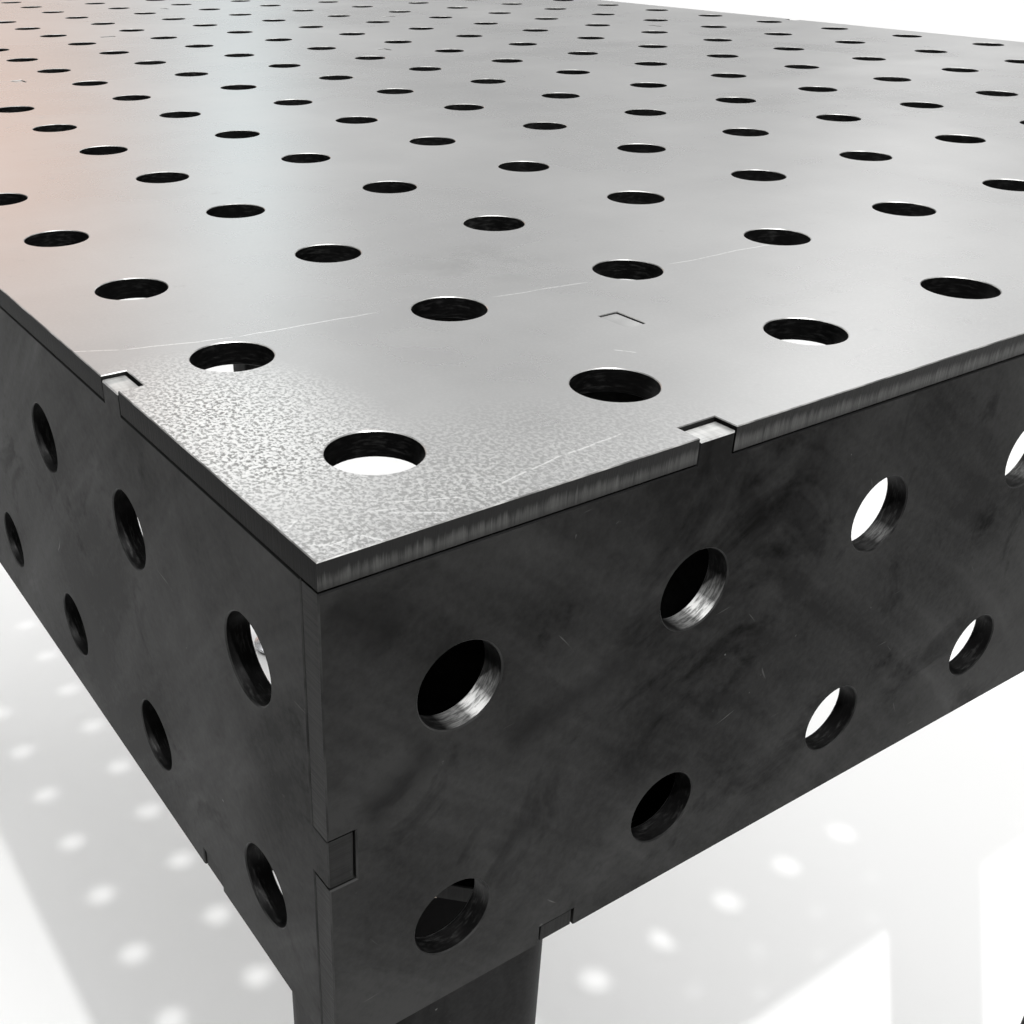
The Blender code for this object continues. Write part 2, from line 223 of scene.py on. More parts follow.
class Look(Nodes):
    """A material's nodes, with short ways to make what these finishes are made of."""

    def __init__(self, name):
        self.mat = bpy.data.materials.new(name)
        super().__init__(self.mat)
        self.shader = self.tree.nodes["Principled BSDF"]

    def set(self, **values):
        for name, value in values.items():
            self.put(value, self.shader.inputs[name.replace("_", " ").title().replace("Ior", "IOR")])

    def place(self, scale=(1, 1, 1), turn=(0, 0, 0), shift=(0, 0, 0)):
        """Object coordinates in metres, shifted, turned and then scaled."""
        source = self.node("ShaderNodeTexCoord").outputs["Object"]
        inputs = {"Vector": source, "Location": shift, "Rotation": turn}
        moved = self.node("ShaderNodeMapping", inputs, vector_type="TEXTURE")
        sized = self.node("ShaderNodeVectorMath", {0: moved.outputs[0], 1: scale}, operation="MULTIPLY")
        return sized.outputs[0]

    def noise(self, where, detail, rough, distort=0.0, scale=1.0):
        made = self.node(
            "ShaderNodeTexNoise",
            {"Vector": where, "Scale": scale, "Detail": detail, "Roughness": rough, "Distortion": distort},
        )
        return made.outputs["Fac"]

    def cloud(self, size, detail, rough, distort=0.0, turn=0.0, shift=(0, 0, 0)):
        """Noise with size features a metre along X, Y and Z, turned about Z. One number serves all three."""
        sizes = size if isinstance(size, tuple) else (size, size, size)
        return self.noise(self.place(sizes, (0, 0, turn), shift), detail, rough, distort)

    def scaled(self, value, by, plus):
        return self.maths("MULTIPLY_ADD", value, by, plus)

    def product(self, a, b):
        return self.maths("MULTIPLY", a, b)

    def axis(self, space, index):
        """X, Y or Z of the point itself or of its normal, in the object's own axes."""
        source = self.node("ShaderNodeTexCoord").outputs[space]
        return self.node("ShaderNodeSeparateXYZ", {0: source}).outputs[index]

    def bump(self, height, distance, strength=1.0):
        made = self.node("ShaderNodeBump", {"Height": height, "Distance": distance, "Strength": strength})
        self.tree.links.new(made.outputs[0], self.shader.inputs["Normal"])

    def curls(self, runs, long_scale, cross_scale, threshold):
        """Thin broken lines, each run at its own angle and slightly bowed, brightest 1."""
        total = None
        for angle, offset in runs:
            where = self.place((1, 1, 1), (0, 0, math.radians(angle)), (offset, 0.7 * offset, 0))
            bow = self.noise(where, 1.0, 0.5, scale=30.0)
            shift = self.node("ShaderNodeCombineXYZ", {1: self.product(bow, 0.012)}).outputs[0]
            bent = self.node("ShaderNodeVectorMath", {0: where, 1: shift}, operation="ADD").outputs[0]
            inputs = {0: bent, 1: (long_scale, cross_scale, 30.0)}
            sized = self.node("ShaderNodeVectorMath", inputs, operation="MULTIPLY")
            line = self.ramp(self.noise(sized.outputs[0], 2.0, 0.5), threshold, threshold + 0.05)
            total = line if total is None else self.maths("MAXIMUM", total, line)
        return total

    def along(self, start, end, width, wander):
        """1 on the line from start to end, each an x and a y in object metres, falling to 0 at width."""
        run = Vector(end) - Vector(start)
        where = self.place((1, 1, 1), (0, 0, math.atan2(run.y, run.x)), (*start, 0))
        split = self.node("ShaderNodeSeparateXYZ", {0: where})
        across = self.maths("ABSOLUTE", self.maths("ADD", split.outputs[1], wander))
        beyond = self.maths("ABSOLUTE", self.maths("SUBTRACT", split.outputs[0], run.length / 2))
        inside = self.ramp(beyond, 0.40 * run.length, 0.50 * run.length, 1.0, 0.0)
        return self.product(self.ramp(across, 0.0, width, 1.0, 0.0), inside)

    def patch(self, centre, radii):
        """1 in the middle of a soft ellipse, 0 outside it. centre is from the near left corner."""
        scale = (1 / radii[0], 1 / radii[1], 0)
        where = self.place(scale, (0, 0, 0), (LEFT + centre[0], NEAR + centre[1], 0))
        size = self.node("ShaderNodeVectorMath", {0: where}, operation="LENGTH").outputs["Value"]
        return self.ramp(size, 0.25, 1.0, 1.0, 0.0)


def ground_steel():
    """The work surface: cleaned bright plate, a slow mottle, fine grain, scratches and handling marks."""
    look = Look("ground_steel_top")
    cloud = look.cloud((9, 7, 9), 4.0, 0.6, 0.4)
    mottle = look.cloud((60, 45, 60), 5.0, 0.65)
    roll = look.cloud((1.2, 60, 1), 3.0, 0.6)
    grain = look.cloud((1450, 1200, 10), 2.0, 0.62, 0.35)
    tone = look.scaled(look.ramp(cloud, 0.3, 0.7), 0.45, look.product(mottle, 0.30))
    tone = look.scaled(roll, 0.25, tone)
    colour = look.mix(look.ramp(tone, 0.15, 0.85), (0.49, 0.49, 0.487), (0.64, 0.64, 0.632))
    worked = look.patch(*WORKED_PATCH)
    corner = look.patch(*CORNER_PATCH)
    busy = look.maths("MAXIMUM", worked, look.product(corner, 0.50))
    busy = look.product(busy, look.ramp(mottle, 0.38, 0.60, 0.80, 1.10))
    colour = look.mix(look.product(worked, 0.62), colour, (0.95, 0.95, 0.935))
    sparkle = look.product(look.ramp(grain, 0.49, 0.60), look.scaled(busy, 0.90, 0.04))
    colour = look.mix(sparkle, colour, (1.0, 1.0, 0.98))
    pits = look.product(look.ramp(grain, 0.50, 0.41), busy)
    colour = look.mix(pits, colour, (0.27, 0.27, 0.26))
    fine = look.curls(((12, 0.0), (-38, 0.3), (63, 0.6)), 70.0, 1100.0, 0.69)
    fine = look.product(fine, look.scaled(corner, 0.55, 0.04))
    colour = look.mix(fine, colour, (0.92, 0.92, 0.91))
    wander = look.scaled(look.cloud((70, 70, 10), 2.0, 0.5), 0.0024, -0.0012)
    drawn = None
    for scratch in SCRATCHES:
        points = [(LEFT + x, NEAR + y) for x, y in scratch]
        for start, end in zip(points, points[1:]):
            line = look.along(start, end, SCRATCH_WIDTH, wander)
            drawn = line if drawn is None else look.maths("MAXIMUM", drawn, line)
    colour = look.mix(look.product(drawn, look.ramp(grain, 0.36, 0.50, 0.35, 0.95)), colour, (1.0, 1.0, 0.99))
    grime = look.product(look.patch(*GRIMY_PATCH), look.ramp(mottle, 0.44, 0.60))
    dust = look.ramp(look.cloud((180, 180, 10), 4.0, 0.7), 0.62, 0.78)
    colour = look.mix(look.product(dust, 0.10), colour, (0.24, 0.24, 0.235))
    colour = look.mix(look.product(grime, 0.30), colour, (0.25, 0.25, 0.245))
    rough = look.scaled(tone, 0.12, 0.22)
    rough = look.scaled(dust, 0.10, rough)
    look.set(base_color=colour, metallic=0.92, roughness=rough)
    height = look.scaled(mottle, 0.5, look.product(grain, look.scaled(busy, 1.6, 0.1)))
    look.bump(height, 0.00009, 0.6)
    return look.mat


def plate_edge():
    """The work plate's outer cut: dark, with a paler ragged band of upright streaks on the two ends."""
    look = Look("plate_outer_edge")
    height = look.axis("Object", 2)
    facing = look.maths("ABSOLUTE", look.axis("Normal", 1))
    streak = look.cloud((1300, 1300, 70), 4.0, 0.7)
    patch = look.cloud((30, 30, 10), 3.0, 0.6)
    level = look.scaled(streak, 0.0034, look.scaled(patch, 0.0030, -0.0026))
    band = look.ramp(look.maths("SUBTRACT", level, height), 0.0, 0.0012)
    band = look.product(band, look.ramp(height, -0.00236, -0.0012, 0.25, 1.0))
    band = look.product(band, look.ramp(facing, 0.2, 0.8, 0.05, 1.0))
    streaked = look.mix(look.ramp(streak, 0.34, 0.70), (0.018, 0.018, 0.0175), (0.052, 0.052, 0.050))
    on_end = look.ramp(facing, 0.2, 0.8)
    plain = look.mix(on_end, (0.0022, 0.0022, 0.0021), (0.007, 0.007, 0.0068))
    look.set(base_color=look.mix(band, plain, streaked), metallic=look.product(on_end, 0.1))
    look.set(specular_ior_level=look.ramp(on_end, 0.0, 1.0, 0.03, 0.12))
    look.set(roughness=look.scaled(band, -0.08, 0.48))
    look.bump(streak, 0.00010, 0.6)
    return look.mat


def cut_steel(name, dark, bright, rough, metallic=0.4, shine=0.15, scale=1100):
    """A laser-cut edge: fine streaks across the thickness, over a slow change along the cut."""
    look = Look(name)
    streak = look.cloud((scale, scale, 60), 3.0, 0.6)
    slow = look.cloud((60, 60, 300), 3.0, 0.6)
    band = look.cloud((25, 25, 900), 2.0, 0.5)
    level = look.scaled(slow, 0.3, look.product(band, 0.25))
    level = look.scaled(streak, 0.55, level)
    colour = look.mix(look.ramp(level, 0.40, 0.72), dark, bright)
    look.set(base_color=colour, metallic=metallic, specular_ior_level=shine)
    look.set(roughness=look.scaled(slow, 0.2, rough))
    look.bump(streak, 0.00012, 0.7)
    return look.mat


def worn_rim(name, dull, bright, metallic=0.9, rough=0.24):
    """The small chamfer round an edge, paler where it is worn."""
    look = Look(name)
    wear = look.cloud(120, 3.0, 0.6)
    look.set(base_color=look.mix(look.ramp(wear, 0.40, 0.62), dull, bright), metallic=metallic)
    look.set(roughness=look.scaled(wear, 0.2, rough), specular_ior_level=0.15)
    return look.mat


def hole_wall(name, painted_glint):
    """The burnt wall of a cut hole, nearly black.

    The second argument turns on a painted highlight on the lower wall of a skirt's upper holes, brightest near
    the left end.
    """
    look = Look(name)
    ring = look.cloud((420, 420, 2300), 3.0, 0.6, 0.3)
    patch = look.cloud((110, 110, 260), 3.0, 0.6)
    bare = look.product(look.ramp(ring, 0.50, 0.75), look.ramp(patch, 0.42, 0.60, 0.10, 0.6))
    colour = look.mix(bare, (0.0022, 0.0022, 0.0022), (0.050, 0.050, 0.049))
    if painted_glint:
        # Painted highlight: a bright, more metallic patch where the wall faces the set side, on the upper
        # holes, strongest near the left end.
        normal = look.node("ShaderNodeTexCoord").outputs["Normal"]
        turned = look.node("ShaderNodeVectorMath", {0: normal, 1: GLINT_SIDE}, operation="DOT_PRODUCT")
        facing = turned.outputs["Value"]
        upper = look.ramp(look.axis("Object", 1), TABLE_HEIGHT - 0.060, TABLE_HEIGHT - 0.050)
        upper = look.product(upper, look.ramp(look.axis("Object", 0), LEFT + 0.090, LEFT + 0.110, 1.0, 0.12))
        wide = look.product(look.ramp(facing, 0.60, 0.97, 0.0, 0.24), look.ramp(ring, 0.38, 0.62, 0.30, 1.0))
        shine = look.scaled(look.ramp(facing, 0.955, 1.0), look.ramp(ring, 0.36, 0.56, 0.2, 0.8), wide)
        shine = look.product(shine, upper)
        colour = look.mix(shine, colour, (0.62, 0.62, 0.61))
        bare = look.maths("MAXIMUM", bare, look.product(shine, 0.4))
    look.set(base_color=colour, metallic=look.product(bare, 0.8), specular_ior_level=0.10)
    look.set(roughness=look.scaled(patch, 0.14, 0.36))
    look.bump(ring, 0.00004, 0.5)
    return look.mat


def mill_scale(name, low, high, rough, shine=1.0, stains=(), dark_above=None):
    """Dark hot-rolled steel: cloudy scale with darker stains, worn streaks and a few pale nicks.

    Above the height given as the last argument, in the object's own axes, the steel is darkened nearly to
    black.
    """
    look = Look(name)
    cloud = look.cloud((8, 18, 8), 4.0, 0.6, 0.8, turn=0.7)
    smear = look.cloud((9, 44, 9), 4.0, 0.65, 0.5, turn=-0.75)
    fine = look.cloud(700, 3.0, 0.7)
    tone = look.scaled(smear, 0.40, look.product(fine, 0.14))
    tone = look.scaled(cloud, 0.5, tone)
    colour = look.mix(look.ramp(tone, 0.42, 0.62), low, high)
    stain = look.cloud(24, 5.0, 0.7, 1.2, shift=(0.3, 0.1, 0.2))
    stain = look.ramp(stain, 0.56, 0.66)
    colour = look.mix(look.product(stain, 0.65), colour, tuple(0.35 * value for value in low))
    specks = look.ramp(look.cloud(420, 2.0, 0.6), 0.735, 0.77)
    nicks = look.curls(((8, 0.0), (-57, 0.5)), 60.0, 900.0, 0.74)
    scuffed = look.cloud(30, 3.0, 0.6, shift=(0.7, 0.4, 0.1))
    scuffed = look.ramp(scuffed, 0.50, 0.62)
    marks = look.product(look.maths("MAXIMUM", specks, nicks), look.product(scuffed, 0.28))
    colour = look.mix(marks, colour, (0.30, 0.30, 0.29))
    rub = look.ramp(smear, 0.55, 0.75)
    gloss = look.scaled(stain, -0.03 * shine, look.ramp(tone, 0.42, 0.62, 0.04 * shine, 0.11 * shine))
    for line in stains:
        ends = [(LEFT + x, TABLE_HEIGHT + z) for x, z in line]
        band = look.along(*ends, STAIN_WIDTH, look.scaled(smear, 0.012, -0.006))
        colour = look.mix(look.product(band, 0.75), colour, tuple(0.5 * value for value in low))
    if dark_above is not None:
        height = look.scaled(smear, 0.006, look.axis("Object", 2))
        darkened = look.ramp(height, dark_above, dark_above + 0.006)
        colour = look.mix(look.product(darkened, 0.92), colour, (0.0004, 0.0004, 0.0004))
        gloss = look.product(gloss, look.ramp(darkened, 0.0, 1.0, 1.0, 0.12))
    look.set(base_color=colour, metallic=0.08, specular_ior_level=gloss)
    look.set(roughness=look.scaled(rub, -0.07, look.scaled(cloud, 0.20, rough)))
    look.bump(look.scaled(fine, 0.4, cloud), 0.00008, 0.5)
    return look.mat


def plated_steel():
    """Zinc plate on turned steel: faint turning rings and a slightly uneven bright tone."""
    look = Look("zinc_plated")
    rings = look.cloud((40, 40, 2600), 2.0, 0.5)
    bloom = look.cloud(140, 4.0, 0.6)
    level = look.scaled(rings, 0.3, look.product(bloom, 0.7))
    colour = look.mix(look.ramp(level, 0.35, 0.65), (0.47, 0.48, 0.50), (0.68, 0.68, 0.69))
    look.set(base_color=colour, metallic=1.0, roughness=look.scaled(bloom, 0.22, 0.18))
    look.bump(rings, 0.00004, 0.5)
    return look.mat


def moulded(name, low, high, rough, scale):
    """A moulded plastic or rubber with a fine grained skin."""
    look = Look(name)
    grain = look.cloud(scale, 4.0, 0.6)
    shade = look.cloud(60, 3.0, 0.6)
    look.set(base_color=look.mix(look.ramp(shade, 0.35, 0.65), low, high))
    look.set(roughness=look.scaled(grain, 0.2, rough))
    look.bump(grain, 0.00010, 0.5)
    return look.mat


def weld_metal():
    """A steel weld bead: silver ripples with brown and blue heat colour in places."""
    look = Look("weld_bead")
    heat = look.cloud(55, 3.0, 0.6)
    soot = look.cloud(240, 4.0, 0.65)
    colour = look.mix(look.ramp(heat, 0.40, 0.60), (0.44, 0.42, 0.40), (0.36, 0.28, 0.20))
    colour = look.mix(look.ramp(heat, 0.58, 0.72), colour, (0.16, 0.18, 0.27))
    colour = look.mix(look.ramp(soot, 0.55, 0.75, 0.0, 0.7), colour, (0.06, 0.055, 0.05))
    look.set(base_color=colour, metallic=0.85, roughness=look.scaled(soot, 0.3, 0.25))
    look.bump(soot, 0.0001, 0.5)
    return look.mat


def floor_paint():
    look = Look("pale_floor")
    shade = look.cloud(1.1, 3.0, 0.5)
    look.set(base_color=look.mix(look.ramp(shade, 0.3, 0.7), (0.86, 0.86, 0.85), (0.90, 0.90, 0.895)))
    look.set(roughness=0.75, specular_ior_level=0.1)
    return look.mat


TOP = ground_steel()
TOP_EDGE = plate_edge()
TOP_ARRIS = worn_rim("dressed_arris", (0.22, 0.22, 0.215), (0.62, 0.62, 0.60))
HOLE_WALL = hole_wall("hole_wall", False)
# Hole walls with a painted highlight on the lower wall of the skirts' upper holes.
GLINT_HOLE_WALL = hole_wall("glint_hole_wall", True)
TAB_END = cut_steel("dressed_tab_end", (0.42, 0.42, 0.41), (0.95, 0.95, 0.93), 0.30, 0.92, 0.5, 500)
RIB_TAB_END = cut_steel("ground_tab_end", (0.47, 0.47, 0.467), (0.62, 0.62, 0.61), 0.26, 0.92, 0.5, 300)
SKIRT_TONES = ((0.0038, 0.0038, 0.0036), (0.0175, 0.0175, 0.0170))
SCALE = mill_scale("mill_scale_plate", *SKIRT_TONES, 0.44)
SCALE_NEAR = mill_scale("mill_scale_near_end", *SKIRT_TONES, 0.44, stains=NEAR_END_STAINS)
SCALE_RIB = mill_scale("mill_scale_rib", (0.004, 0.004, 0.0039), (0.014, 0.014, 0.0136), 0.72, 0.2)
# The leg mounts' scale is made much darker than the other plates': painted shade, where they sit in the dark
# under the top.
SHADED_MOUNT_SCALE = mill_scale("mill_scale_mount_painted_shade", (0.0018, 0.0018, 0.0017), (0.0055, 0.0055, 0.0053), 0.78, 0.1)
DARK_CUT = cut_steel("cut_edge_dark", (0.005, 0.005, 0.0048), (0.014, 0.014, 0.0135), 0.45, 0.1, 0.08)
DARK_RIM = worn_rim("dark_rim", (0.004, 0.004, 0.004), (0.022, 0.022, 0.0215), 0.10, 0.40)
# Near-black rim: painted shade in the gap under the top plate.
GAP_SHADE_RIM = worn_rim("gap_shade_rim", (0.0006, 0.0006, 0.0006), (0.0016, 0.0016, 0.0016), 0.0, 0.60)
TUBE = mill_scale(
    "mill_scale_tube", (0.0034, 0.0034, 0.0033), (0.0125, 0.0125, 0.0122), 0.42, 0.7,
    dark_above=LEG_TUBE_LENGTH / 2 - DARK_TOP_LENGTH,
)  # fmt: skip
ZINC = plated_steel()
NYLON = moulded("natural_nylon", (0.70, 0.69, 0.62), (0.80, 0.79, 0.73), 0.42, 1500)
RUBBER = moulded("black_rubber", (0.018, 0.018, 0.018), (0.035, 0.035, 0.034), 0.62, 900)
BEAD = weld_metal()


# ---------------------------------------------------------------- shapes


def column(i):
    return LEFT + MARGIN + i * PITCH


def row(j):
    return NEAR + MARGIN + j * PITCH


def polygon(centre, radius, sides):
    angles = [2 * math.pi / sides * k for k in range(sides)]
    return [(centre[0] + radius * math.cos(a), centre[1] + radius * math.sin(a)) for a in angles]


def round_hole(x, y):
    return polygon((x, y), HOLE_RADIUS, HOLE_SIDES)


def box_outline(x0, x1, y0, y1):
    return [(x0, y0), (x1, y0), (x1, y1), (x0, y1)]


def distinct(points):
    kept = []
    for point in points:
        if not kept or math.dist(point, kept[-1]) > 1e-7:
            kept.append(point)
    return kept


def stepped(start, end, level, steps):
    """An edge from start to end at one level, with stretches (from, to, level) at other levels."""
    points = [(start, level)]
    for s0, s1, other in sorted(steps):
        points += [(s0, level), (s0, other), (s1, other), (s1, level)]
    points.append((end, level))
    return distinct(points)


def ring_of(bottom, right, top, left):
    points = list(bottom)
    points += [(level, along) for along, level in right]
    points += list(reversed(top))
    points += [(level, along) for along, level in reversed(left)]
    kept = distinct(points)
    if math.dist(kept[0], kept[-1]) < 1e-7:
        kept.pop()
    return kept


def around(centre, half, level):
    return (centre - half, centre + half, level)


def arc(centre, radius, start_deg, end_deg, steps):
    angles = [math.radians(start_deg + (end_deg - start_deg) * k / steps) for k in range(steps + 1)]
    return [(centre[0] + radius * math.cos(a), centre[1] + radius * math.sin(a)) for a in angles]


def rounded_square(side, radius, steps):
    inset = side / 2 - radius
    corners = [(inset, inset, 0), (-inset, inset, 90), (-inset, -inset, 180), (inset, -inset, 270)]
    points = []
    for x, y, angle in corners:
        points += arc((x, y), radius, angle, angle + 90, steps)
    return points


def add(name, data):
    obj = bpy.data.objects.new(name, data)
    bpy.context.scene.collection.objects.link(obj)
    return obj


def mesh_of(obj):
    """The evaluated mesh of obj, which is then removed."""
    bpy.context.view_layer.update()
    graph = bpy.context.evaluated_depsgraph_get()
    mesh = bpy.data.meshes.new_from_object(obj.evaluated_get(graph))
    bpy.data.objects.remove(obj, do_unlink=True)
    return mesh


def wear_only(mesh, *looks):
    mesh.materials.clear()
    for look in looks:
        mesh.materials.append(look)


def soften(mesh, angle=30):
    for face in mesh.polygons:
        face.use_smooth = True
    mesh.set_sharp_from_angle(angle=math.radians(angle))


def face_outwards(mesh):
    """Merges points that coincide and turns every face outwards."""
    work = bmesh.new()
    work.from_mesh(mesh)
    bmesh.ops.remove_doubles(work, verts=work.verts, dist=0.000002)
    bmesh.ops.recalc_face_normals(work, faces=work.faces)
    work.to_mesh(mesh)
    work.free()


def sheet_mesh(name, outline, holes, thickness, rim):
    """A flat piece with holes, with every edge broken by a chamfer of rim."""
    curve = bpy.data.curves.new(name, "CURVE")
    curve.dimensions = "2D"
    curve.fill_mode = "BOTH"
    curve.extrude = thickness / 2 - rim
    curve.bevel_depth = rim
    curve.bevel_resolution = 0
    curve.offset = -rim
    for loop in [outline, *holes]:
        spline = curve.splines.new("POLY")
        spline.points.add(len(loop) - 1)
        for point, (x, y) in zip(spline.points, loop):
            point.co = (x, y, 0, 1)
        spline.use_cyclic_u = True
    mesh = mesh_of(add(name + "_curve", curve))
    mesh.name = name
    face_outwards(mesh)
    return mesh


def sheet_looks(mesh, holes):
    """Sets each face to 0 flat, 1 outer cut, 2 rim on the local top, 3 hole wall or 4 rim below."""
    middles = kdtree.KDTree(max(len(holes), 1))
    reach = []
    for number, hole in enumerate(holes):
        middle = sum((Vector((x, y, 0)) for x, y in hole), Vector()) / len(hole)
        middles.insert(middle, number)
        reach.append(max(math.dist(middle[:2], point) for point in hole) + 0.0005)
    middles.balance()
    for face in mesh.polygons:
        up = face.normal.z
        if abs(up) > 0.95:
            face.material_index = 0
        elif abs(up) > 0.2:
            face.material_index = 2 if up > 0 else 4
        else:
            spot = Vector((face.center.x, face.center.y, 0))
            found = middles.find(spot) if holes else (None, None, None)
            inner = found[1] is not None and found[2] < reach[found[1]]
            face.material_index = 3 if inner else 1


def sheet(node, outline, holes, thickness, location, rotation, looks, rim=0.00025):
    """Stands for a CAD plate. looks go to its faces, outer cut, upper rims, hole walls and lower rims."""
    mesh = sheet_mesh(node + "_shape", outline, holes, thickness, rim)
    wear_only(mesh, *looks)
    sheet_looks(mesh, holes)
    soften(mesh)
    obj = add(node + "_plate", mesh)
    obj.location = location
    obj.rotation_euler = rotation
    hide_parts(node)
    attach(obj, "frame")
    return obj


# On the top plate the dark rim goes on the lower rims as painted shade of the gap under the plate; on the
# other plates it is their own dark rim.
TOP_LOOKS = (TOP, TOP_EDGE, TOP_ARRIS, HOLE_WALL, DARK_RIM)
SKIRT_LOOKS = (SCALE, DARK_CUT, DARK_RIM, HOLE_WALL, DARK_RIM, TAB_END, GAP_SHADE_RIM)
NEAR_END_LOOKS = (SCALE_NEAR, DARK_CUT, DARK_RIM, GLINT_HOLE_WALL, DARK_RIM, TAB_END, GAP_SHADE_RIM)
FAR_END_LOOKS = (SCALE, DARK_CUT, DARK_RIM, GLINT_HOLE_WALL, DARK_RIM, TAB_END, GAP_SHADE_RIM)
RIB_LOOKS = (SCALE_RIB, DARK_CUT, DARK_RIM, HOLE_WALL, DARK_RIM, RIB_TAB_END, GAP_SHADE_RIM)
MOUNT_LOOKS = (SHADED_MOUNT_SCALE, DARK_CUT, DARK_RIM, HOLE_WALL, DARK_RIM)


def dress_tabs(obj, level):
    """The tab ends that show in the work surface are ground bright, and the rims just under it are painted
    near black as shade in the gap under the plate.
    """
    for face in obj.data.polygons:
        if face.center.y > level - 0.0004:
            face.material_index = 5
        # The rims just under the top plate take the painted gap shade.
        elif face.center.y > SKIRT_TOP - 0.0004 and face.material_index in (2, 4):
            face.material_index = 6


def top_plate():
    half = TOP_TAB / 2 + TAB_GAP
    depth = PLATE + TAB_GAP
    near = stepped(LEFT, -LEFT, NEAR, [around(column(i), half, NEAR + depth) for i in END_TAB_COLUMNS])
    far = stepped(LEFT, -LEFT, -NEAR, [around(column(i), half, -NEAR - depth) for i in END_TAB_COLUMNS])
    left = stepped(NEAR, -NEAR, LEFT, [around(row(j), half, LEFT + depth) for j in SIDE_TAB_ROWS])
    right = stepped(NEAR, -NEAR, -LEFT, [around(row(j), half, -LEFT - depth) for j in SIDE_TAB_ROWS])
    holes = [round_hole(column(i), row(j)) for i in range(COLUMNS) for j in range(ROWS)]
    across = PLATE / 2 + TAB_GAP
    for gap in LONG_RIB_GAPS:
        x = column(gap + 0.5)
        for y in (row(g + 0.5) for g in LONG_RIB_TAB_GAPS):
            holes.append(box_outline(x - across, x + across, y - half, y + half))
    y = row(CROSS_RIB_GAP + 0.5)
    for x in (column(g + 0.5) for g in CROSS_RIB_TAB_GAPS):
        holes.append(box_outline(x - half, x + half, y - across, y + across))
    place = (0, 0, TABLE_HEIGHT - PLATE / 2)
    outline = ring_of(near, right, far, left)
    sheet("top_plate", outline, holes, PLATE, place, (0, 0, 0), TOP_LOOKS, rim=0.00016)


def mount_notch(along):
    return around(along, MOUNT_TAB / 2 + MOUNT_TAB_GAP, SKIRT_BOTTOM + MOUNT_THICKNESS + GAP)


def skirt_holes(places):
    return [round_hole(along, TABLE_HEIGHT - depth) for along in places for depth in SIDE_HOLE_DEPTHS]


def skirt(name, place, turn, edge, start, finger, places, tab_places, looks):
    """A skirt along the table's edge, from start to -start. finger is its fingers' half width and end."""
    half, finger_end = finger
    finger_level = TABLE_HEIGHT - FINGER_DEPTH
    notches = [mount_notch(edge + LEG_CENTRE), mount_notch(-edge - LEG_CENTRE)]
    tabs = [around(along, TOP_TAB / 2, SKIRT_TAB_TOP) for along in tab_places]
    bottom = stepped(start, -start, SKIRT_BOTTOM, notches)
    top = stepped(start, -start, SKIRT_TOP, tabs)
    first = stepped(SKIRT_BOTTOM, SKIRT_TOP, start, [around(finger_level, half, finger_end)])
    last = stepped(SKIRT_BOTTOM, SKIRT_TOP, -start, [around(finger_level, half, -finger_end)])
    obj = sheet(name, ring_of(bottom, last, top, first), skirt_holes(places), PLATE, place, turn, looks)
    dress_tabs(obj, SKIRT_TAB_TOP)


def skirts():
    slot = (FINGER / 2 + GAP, LEFT + PLATE + GAP)
    places = [column(i) for i in range(COLUMNS)]
    tabs = [column(i) for i in END_TAB_COLUMNS]
    middle = NEAR + PLATE / 2
    for name, y, looks in (("near", middle, NEAR_END_LOOKS), ("far", -middle, FAR_END_LOOKS)):
        skirt(f"{name}_end_skirt", (0, y, 0), STANDING_X, LEFT, LEFT, slot, places, tabs, looks)
    finger = (FINGER / 2, NEAR + GAP)
    places = [row(j) for j in range(ROWS)]
    tabs = [row(j) for j in SIDE_TAB_ROWS]
    start = NEAR + PLATE + GAP
    middle = LEFT + PLATE / 2
    for name, x in (("left", middle), ("right", -middle)):
        skirt(f"{name}_side_skirt", (x, 0, 0), STANDING_Y, NEAR, start, finger, places, tabs, SKIRT_LOOKS)


def lap_slots(places, level):
    return [around(place, PLATE / 2 + GAP, level) for place in places]


def long_rib(name, x, deep_ends):
    start = NEAR + PLATE + GAP
    slots = lap_slots([row(CROSS_RIB_GAP + 0.5)], LAP_LEVEL + GAP)
    tabs = [around(row(g + 0.5), TOP_TAB / 2, RIB_TAB_TOP) for g in LONG_RIB_TAB_GAPS]
    top = stepped(start, -start, SKIRT_TOP, tabs)
    if not deep_ends:
        outline = stepped(start, -start, RIB_BOTTOM, slots) + list(reversed(top))
    else:
        foot_end = NEAR + RIB_FOOT_LENGTH
        foot = stepped(start, foot_end, SKIRT_BOTTOM, [mount_notch(NEAR + LEG_CENTRE)])
        centre = (foot_end + RIB_FILLET, RIB_BOTTOM - RIB_FILLET)
        near_half = foot + arc(centre, RIB_FILLET, 180, 90, 12)
        far_half = [(-along, level) for along, level in reversed(near_half)]
        middle = stepped(centre[0], -centre[0], RIB_BOTTOM, slots)[1:-1]
        outline = near_half + middle + far_half + list(reversed(top))
    dress_tabs(sheet(name, outline, [], PLATE, (x, 0, 0), STANDING_Y, RIB_LOOKS), RIB_TAB_TOP)


def cross_rib(name, y):
    start = LEFT + PLATE + GAP
    slots = lap_slots([column(g + 0.5) for g in LONG_RIB_GAPS], LAP_LEVEL - GAP)
    tabs = [around(column(g + 0.5), TOP_TAB / 2, RIB_TAB_TOP) for g in CROSS_RIB_TAB_GAPS]
    top = stepped(start, -start, SKIRT_TOP, slots + tabs)
    outline = [(start, RIB_BOTTOM), (-start, RIB_BOTTOM), *reversed(top)]
    dress_tabs(sheet(name, outline, [], PLATE, (0, y, 0), STANDING_X, RIB_LOOKS), RIB_TAB_TOP)


